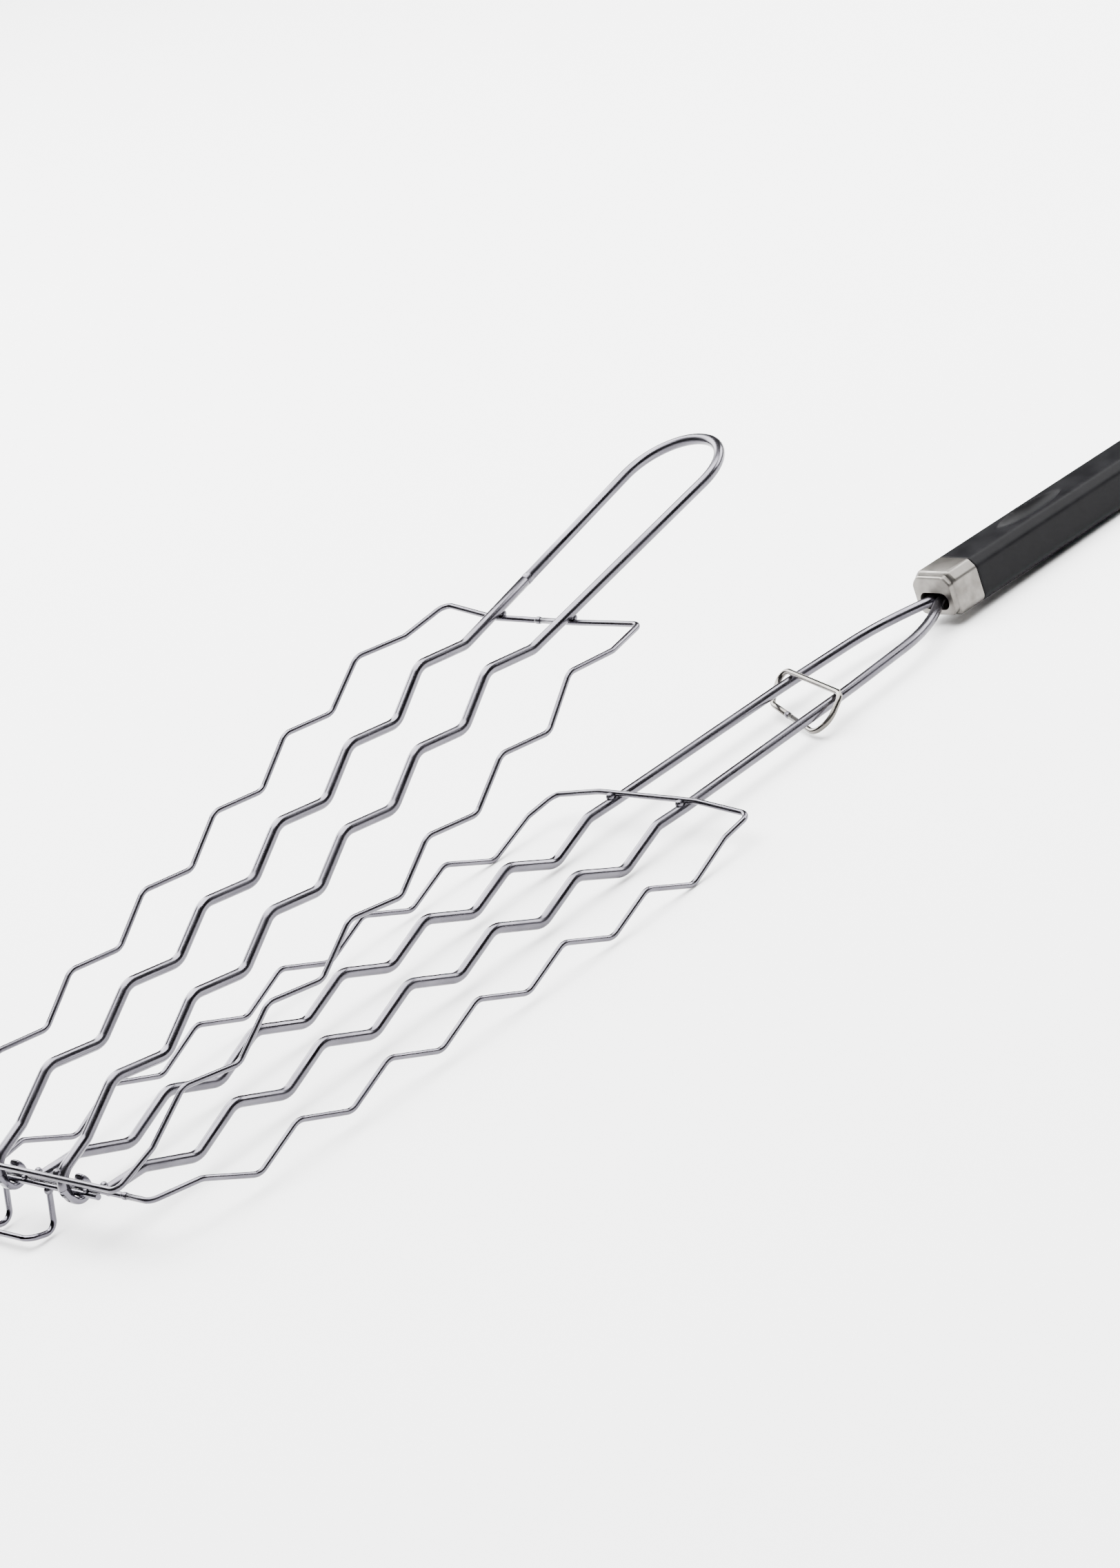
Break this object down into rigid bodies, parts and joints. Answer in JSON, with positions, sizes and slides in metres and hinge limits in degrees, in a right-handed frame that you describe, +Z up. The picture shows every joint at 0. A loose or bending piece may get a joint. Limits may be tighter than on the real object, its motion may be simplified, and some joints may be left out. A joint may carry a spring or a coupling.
{
  "type": "grill basket",
  "caption": "Hinged wire grill basket with corrugated halves, a lift handle, two shaft rods, a slide ring and a moulded grip",
  "frame": {"origin": "bottom centre of the bounding box at rest, on the surface the part stands on", "axes": "+Y along the shaft toward the grip, +Z up, +X to the right seen from the hinge end"},
  "size_m": [0.1544, 0.726, 0.1433],
  "materials": {
    "thick_wire": "bright nickel-chrome plated steel wire",
    "thin_wire": "bright nickel-chrome plated steel wire",
    "ring_wire": "nickel plated steel wire",
    "bead": "plated weld bead",
    "cast": "satin die cast zinc",
    "grip": "moulded phenolic, fine satin"
  },
  "bodies": {
    "lower_half": {"lower_frame": "thin_wire", "rod_left": "thick_wire", "rod_right": "thick_wire", "hinge_bar": "thin_wire", "foot_loop": "thin_wire", "ferrule": "cast", "grip": "grip", "lower_rear_welds": "bead", "lower_front_welds": "bead", "hinge_bar_welds": "bead", "foot_welds": "bead", "lower_frame_joint": "bead"},
    "upper_half": {"upper_frame": "thin_wire", "upper_wire_left": "thick_wire", "upper_wire_right": "thick_wire", "hook_left": "thick_wire", "hook_right": "thick_wire", "upper_rear_welds": "bead", "upper_front_welds": "bead", "upper_frame_joint": "bead", "lift_handle_joint": "bead"},
    "latch": {"latch_ring": "ring_wire", "latch_ring_joint": "bead"}
  },
  "joints": [
    {"name": "upper_swing", "type": "hinge", "parent": "lower_half", "child": "upper_half", "pos_m": [-0.0089, -0.344, 0.02086], "axis": [1, 0, 0], "range_deg": [-15, 95]},
    {"name": "ring_slide", "type": "slide", "parent": "lower_half", "child": "latch", "axis": [0, 1, -0.0013], "range_m": [-0.075, 0.034]}
  ]
}
